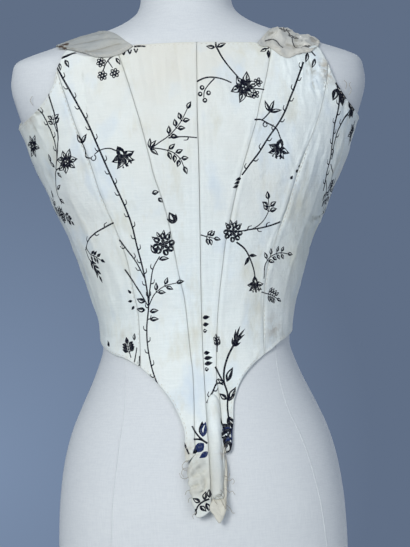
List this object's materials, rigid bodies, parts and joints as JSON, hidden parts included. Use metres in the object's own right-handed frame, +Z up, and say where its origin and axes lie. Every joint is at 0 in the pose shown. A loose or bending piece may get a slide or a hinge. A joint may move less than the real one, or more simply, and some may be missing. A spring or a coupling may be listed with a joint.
{
  "type": "boned bodice on a dress form",
  "caption": "Sleeveless boned bodice with a long pointed back tail and wide shoulder straps, worn on a smooth limbless dress form with a flat base.",
  "frame": {"origin": "middle of the dress form's flat base, where it stands", "axes": "+Z up the form, -Y out of the bodice's back, +X to the wearer's right hand side as seen from behind"},
  "size_m": [0.406, 0.2683, 0.792],
  "materials": {
    "form_jersey": "fine white stretch jersey over a hard form",
    "printed_linen": "off-white linen, printed with dark thorny stems and flowers",
    "plain_linen": "unbleached plain-weave linen, worn"
  },
  "bodies": {
    "root": {"torso_form": "form_jersey", "back_left": "printed_linen", "back_right": "printed_linen", "side_back_left": "printed_linen", "side_back_right": "printed_linen", "front_left": "printed_linen", "front_right": "printed_linen", "strap_left": "plain_linen", "strap_right": "plain_linen", "tail_pleat": "printed_linen", "tail_lining": "plain_linen"}
  },
  "joints": []
}
